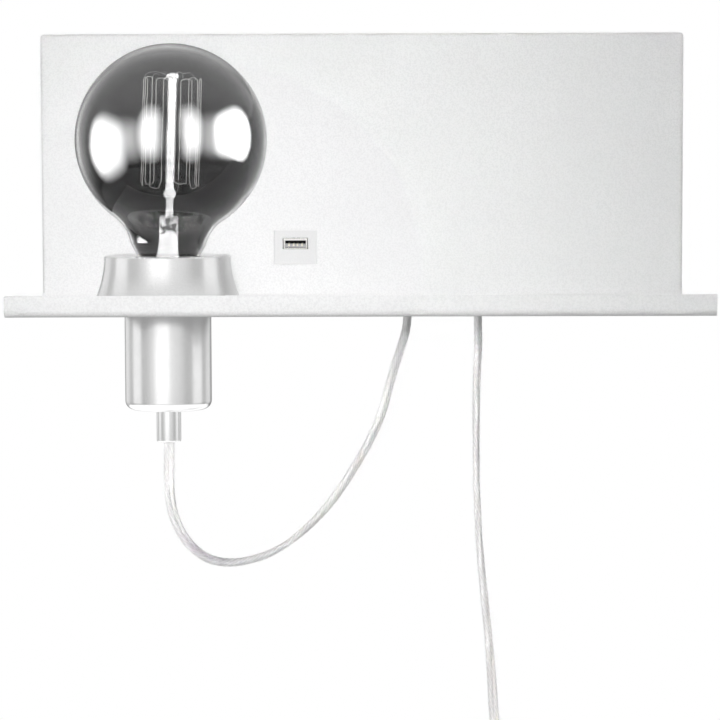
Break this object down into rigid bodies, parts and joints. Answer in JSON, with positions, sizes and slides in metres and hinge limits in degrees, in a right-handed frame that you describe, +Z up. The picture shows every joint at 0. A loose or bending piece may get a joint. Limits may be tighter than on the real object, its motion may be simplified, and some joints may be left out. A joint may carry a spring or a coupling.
{
  "type": "wall lamp with shelf",
  "caption": "Wall lamp of bent white sheet steel: an upright panel and a lipped shelf, a globe bulb in a holder through the shelf, a charging port and a mains lead with switch and plug.",
  "frame": {"origin": "on the wall plane, midway between the entry holes of the two keyholes", "axes": "+Y points into the wall, so the front faces -Y; +X is to the right seen from the front; +Z is up"},
  "size_m": [0.34, 0.175, 0.587],
  "materials": {
    "powder_white": "fine textured matt white powder coat",
    "satin_nickel": "satin nickel plate",
    "zinc_steel": "bright zinc plate",
    "porcelain": "glazed porcelain",
    "brass": "bare pressed brass",
    "nickel": "nickel plate",
    "black_insulator": "black glass",
    "smoked_glass": "clear smoked glass",
    "clear_glass": "clear glass",
    "wire": "drawn wire",
    "filament": "matt coated filament",
    "white_plastic": "satin white moulded plastic",
    "green_board": "lacquered circuit board",
    "white_lead": "white sheath of a flat two core lead",
    "dark_wire": "black insulated wire"
  },
  "bodies": {
    "root": {"shelf_panel": "powder_white", "rear_cover": "powder_white", "cover_screws": "zinc_steel", "collar": "satin_nickel", "barrel": "satin_nickel", "socket_insert": "porcelain", "contact_shell": "brass", "centre_contact": "brass", "holder_terminals": "brass", "holder_leads": "white_lead", "grip_nut": "zinc_steel", "cord_grip": "satin_nickel", "grip_screw": "white_plastic", "port_plate": "white_plastic", "port_shell": "nickel", "port_tongue": "white_plastic", "port_contacts": "brass", "port_board": "green_board", "port_case": "white_plastic", "port_clips": "zinc_steel", "power_supply": "white_plastic", "fixing_screws": "zinc_steel", "supply_leads": "dark_wire", "port_leads": "dark_wire", "terminal_block": "white_plastic", "terminal_screws": "brass", "clamp_bases": "white_plastic", "clamp_bars": "white_plastic", "clamp_screws": "zinc_steel", "lamp_relief": "white_plastic", "mains_relief": "white_plastic", "lamp_tail": "white_lead", "mains_tail": "white_lead", "lamp_lead": "white_lead", "mains_lead": "white_lead", "switch_base": "white_plastic", "switch_cover": "white_plastic", "switch_terminals": "brass", "switch_leads": "white_lead", "switch_screws": "zinc_steel", "coil_lead": "white_lead", "mains_coil": "white_lead", "coil_tie": "white_plastic", "plug_lead": "white_lead", "plug_body": "white_plastic", "plug_pins": "nickel"},
    "bulb": {"bulb_glass": "smoked_glass", "bulb_cap": "nickel", "bulb_insulator": "black_insulator", "bulb_tip": "nickel", "bulb_stem": "clear_glass", "bulb_supports": "wire", "bulb_filament": "filament"},
    "rocker": {"switch_rocker": "white_plastic"}
  },
  "joints": [
    {"name": "bulb_out", "type": "slide", "parent": "root", "child": "bulb", "axis": [0, 0, 1], "range_m": [0, 0.04]},
    {"name": "switch_rock", "type": "hinge", "parent": "root", "child": "rocker", "pos_m": [0.071, -0.016, -0.362], "axis": [1, 0, 0], "range_deg": [0, 16]}
  ]
}
